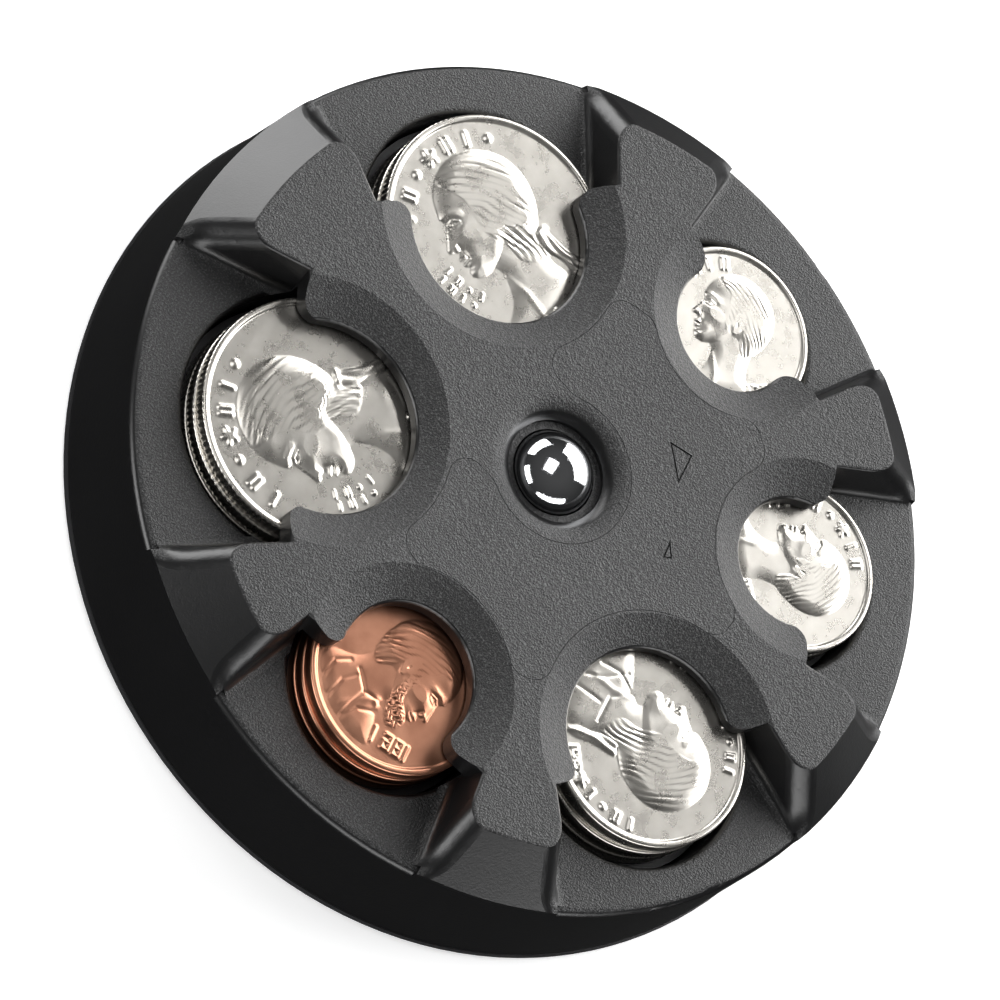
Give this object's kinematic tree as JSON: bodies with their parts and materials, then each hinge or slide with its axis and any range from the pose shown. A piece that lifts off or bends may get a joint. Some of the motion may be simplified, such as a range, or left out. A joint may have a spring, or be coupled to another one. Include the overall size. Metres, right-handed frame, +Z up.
{
  "type": "coin sorter",
  "caption": "Round black coin sorter for a cup holder, with sprung coin wells under a star-shaped top and a chrome ball button in the middle.",
  "frame": {"origin": "middle of the underside that the sorter stands on", "axes": "+Z up through the ball button, +Y towards the spoke between the two quarter wells"},
  "size_m": [0.0878, 0.0878, 0.0199],
  "materials": {
    "case_plastic": "fine grained matte black",
    "cover_plastic": "fine grained matte black",
    "tray_plastic": "smooth satin black",
    "foot_rubber": "matte black rubber",
    "screw_steel": "zinc plated",
    "ball_chrome": "mirror polish",
    "stem_plastic": "smooth black",
    "spring_steel": "drawn wire",
    "follower_plastic": "smooth black",
    "coin_copper": "struck copper, lightly toned",
    "coin_nickel_silver": "struck copper-nickel, bright"
  },
  "bodies": {
    "case": {"top_shell": "case_plastic", "centre_cover": "cover_plastic", "base_tray": "tray_plastic", "foot_ring": "foot_rubber", "tray_screws": "screw_steel", "spring_quarter_a": "spring_steel", "spring_quarter_b": "spring_steel", "spring_cent": "spring_steel", "spring_nickel": "spring_steel", "spring_dime_a": "spring_steel", "spring_dime_b": "spring_steel", "button_spring": "spring_steel"},
    "ball_button": {"chrome_ball": "ball_chrome", "button_stem": "stem_plastic"},
    "stack_quarter_a_body": {"follower_quarter_a": "follower_plastic", "stack_quarter_a": "coin_nickel_silver"},
    "top_quarter_a_body": {"top_quarter_a": "coin_nickel_silver"},
    "stack_quarter_b_body": {"follower_quarter_b": "follower_plastic", "stack_quarter_b": "coin_nickel_silver"},
    "top_quarter_b_body": {"top_quarter_b": "coin_nickel_silver"},
    "stack_cent_body": {"follower_cent": "follower_plastic", "stack_cent": "coin_copper"},
    "top_cent_body": {"top_cent": "coin_copper"},
    "stack_nickel_body": {"follower_nickel": "follower_plastic", "stack_nickel": "coin_nickel_silver"},
    "top_nickel_body": {"top_nickel": "coin_nickel_silver"},
    "stack_dime_a_body": {"follower_dime_a": "follower_plastic", "stack_dime_a": "coin_nickel_silver"},
    "top_dime_a_body": {"top_dime_a": "coin_nickel_silver"},
    "stack_dime_b_body": {"follower_dime_b": "follower_plastic", "stack_dime_b": "coin_nickel_silver"},
    "top_dime_b_body": {"top_dime_b": "coin_nickel_silver"}
  },
  "joints": [
    {"name": "button_press", "type": "slide", "parent": "case", "child": "ball_button", "axis": [0, 0, 1], "range_m": [-0.0012, 0], "stiffness_N_per_m": 900, "springref_m": 0.0008, "deforming": ["button_spring"]},
    {"name": "stack_quarter_a_press", "type": "slide", "parent": "case", "child": "stack_quarter_a_body", "axis": [0, 0, 1], "range_m": [-0.0048, 0], "stiffness_N_per_m": 60, "springref_m": 0.004, "deforming": ["spring_quarter_a"]},
    {"name": "quarter_a_slide_out", "type": "slide", "parent": "case", "child": "top_quarter_a_body", "axis": [0.575, 0.8181, 0], "range_m": [0, 0.018]},
    {"name": "stack_quarter_b_press", "type": "slide", "parent": "case", "child": "stack_quarter_b_body", "axis": [0, 0, 1], "range_m": [-0.0048, 0], "stiffness_N_per_m": 60, "springref_m": 0.004, "deforming": ["spring_quarter_b"]},
    {"name": "quarter_b_slide_out", "type": "slide", "parent": "case", "child": "top_quarter_b_body", "axis": [-0.6046, 0.7965, 0], "range_m": [0, 0.018]},
    {"name": "stack_cent_press", "type": "slide", "parent": "case", "child": "stack_cent_body", "axis": [0, 0, 1], "range_m": [-0.0053, 0], "stiffness_N_per_m": 60, "springref_m": 0.004, "deforming": ["spring_cent"]},
    {"name": "cent_slide_out", "type": "slide", "parent": "case", "child": "top_cent_body", "axis": [-0.9956, -0.0941, 0], "range_m": [0, 0.018]},
    {"name": "stack_nickel_press", "type": "slide", "parent": "case", "child": "stack_nickel_body", "axis": [0, 0, 1], "range_m": [-0.0044, 0], "stiffness_N_per_m": 60, "springref_m": 0.004, "deforming": ["spring_nickel"]},
    {"name": "nickel_slide_out", "type": "slide", "parent": "case", "child": "top_nickel_body", "axis": [-0.471, -0.8821, 0], "range_m": [0, 0.018]},
    {"name": "stack_dime_a_press", "type": "slide", "parent": "case", "child": "stack_dime_a_body", "axis": [0, 0, 1], "range_m": [-0.0043, 0], "stiffness_N_per_m": 60, "springref_m": 0.004, "deforming": ["spring_dime_a"]},
    {"name": "dime_a_slide_out", "type": "slide", "parent": "case", "child": "top_dime_a_body", "axis": [0.4924, -0.8704, 0], "range_m": [0, 0.018]},
    {"name": "stack_dime_b_press", "type": "slide", "parent": "case", "child": "stack_dime_b_body", "axis": [0, 0, 1], "range_m": [-0.0043, 0], "stiffness_N_per_m": 60, "springref_m": 0.004, "deforming": ["spring_dime_b"]},
    {"name": "dime_b_slide_out", "type": "slide", "parent": "case", "child": "top_dime_b_body", "axis": [0.9917, -0.1288, 0], "range_m": [0, 0.018]}
  ]
}
